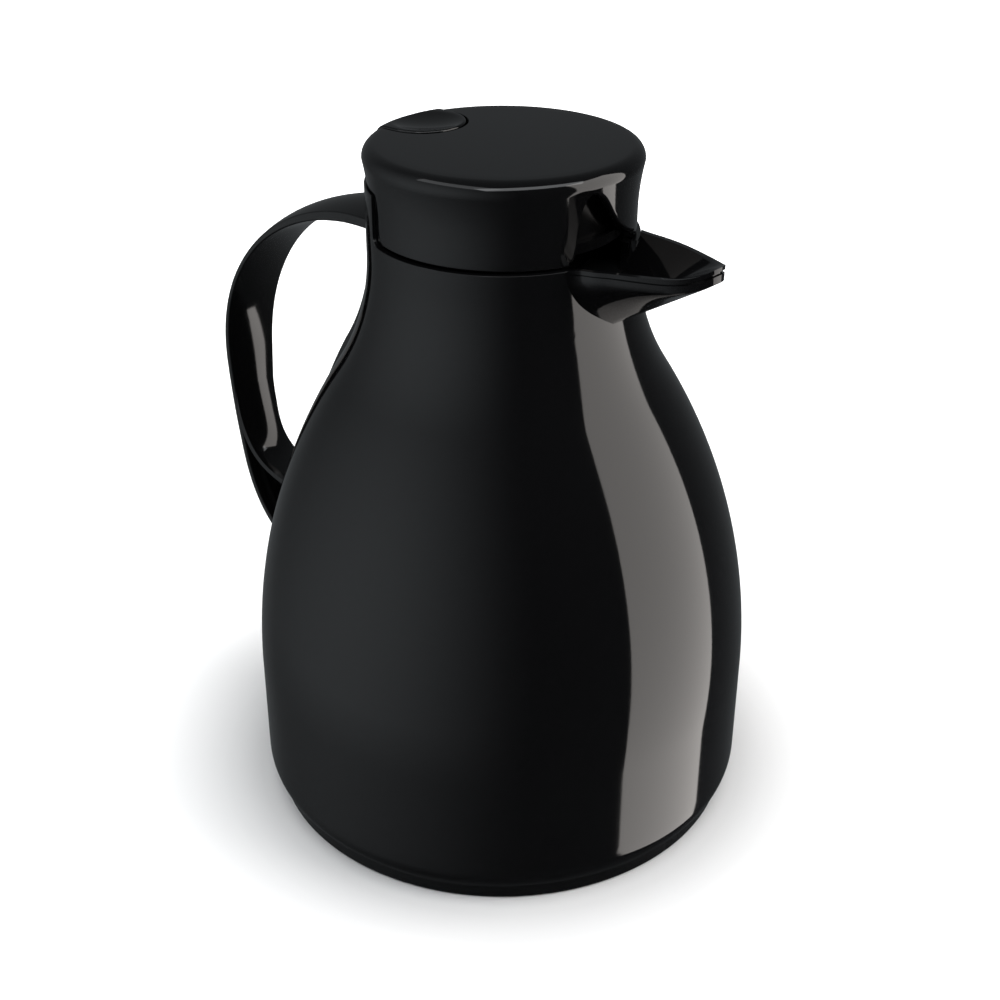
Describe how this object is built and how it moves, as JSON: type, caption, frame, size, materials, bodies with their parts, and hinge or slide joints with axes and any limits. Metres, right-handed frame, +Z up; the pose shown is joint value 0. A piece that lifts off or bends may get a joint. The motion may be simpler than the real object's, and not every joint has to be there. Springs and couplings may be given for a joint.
{
  "type": "thermal carafe with lift-off lid and thumb valve",
  "caption": "Insulated serving jug with a waisted body, keeled pouring lip, ribbon handle and flat lid whose dished thumb lever opens a spring-closed pouring valve",
  "frame": {"origin": "on the jug's axis in the plane of the table under the foot ring", "axes": "+Z up along the jug's axis, +X from the handle to the pouring lip, +Y to the left when looking along +X"},
  "size_m": [0.2017, 0.163, 0.2205],
  "materials": {
    "body_gloss_black": "smooth glossy injection-moulded plastic",
    "base_black": "satin moulded plastic",
    "lip_gloss_black": "glossy moulded plastic",
    "handle_gloss_black": "glossy moulded plastic",
    "lid_satin_black": "satin to glossy moulded plastic",
    "stopper_black": "satin moulded plastic",
    "steel": "plain stainless steel",
    "flask_glass": "silvered glass",
    "rubber_grey": "matt silicone rubber",
    "felt": "pressed felt",
    "foam_white": "closed-cell foam"
  },
  "bodies": {
    "jug": {"outer_shell": "body_gloss_black", "base_cap": "base_black", "base_screws": "steel", "base_cushion": "rubber_grey", "flask_outer": "flask_glass", "flask_inner": "flask_glass", "flask_spacers": "felt", "mouth_gasket": "rubber_grey", "pour_collar": "lip_gloss_black", "lip_shell": "lip_gloss_black", "handle": "handle_gloss_black", "handle_screws": "steel"},
    "lid": {"lid_cap": "lid_satin_black", "stopper": "stopper_black", "stopper_gasket": "rubber_grey", "lid_foam": "foam_white", "lid_screws": "steel", "lever_pin": "steel", "stem_seal": "rubber_grey"},
    "lever": {"thumb_lever": "lid_satin_black"},
    "valve": {"valve_stem": "steel", "valve_disc": "stopper_black", "valve_seal": "rubber_grey", "valve_spring": "steel"}
  },
  "joints": [
    {"name": "lid_lift", "type": "slide", "parent": "jug", "child": "lid", "axis": [0, 0, 1], "range_m": [0, 0.05]},
    {"name": "lever_press", "type": "hinge", "parent": "lid", "child": "lever", "pos_m": [-0.012, 0, 0.207], "axis": [0, -1, 0], "range_deg": [0, 9], "stiffness_Nm_per_rad": 0.5, "springref_deg": -5.73},
    {"name": "valve_lift", "type": "slide", "parent": "lid", "child": "valve", "axis": [0, 0, 1], "range_m": [0, 0.0019], "deforming": ["valve_spring"]}
  ],
  "couplings": [
    {"joint": "valve_lift", "follows": "lever_press", "m_per_rad": 0.012}
  ]
}
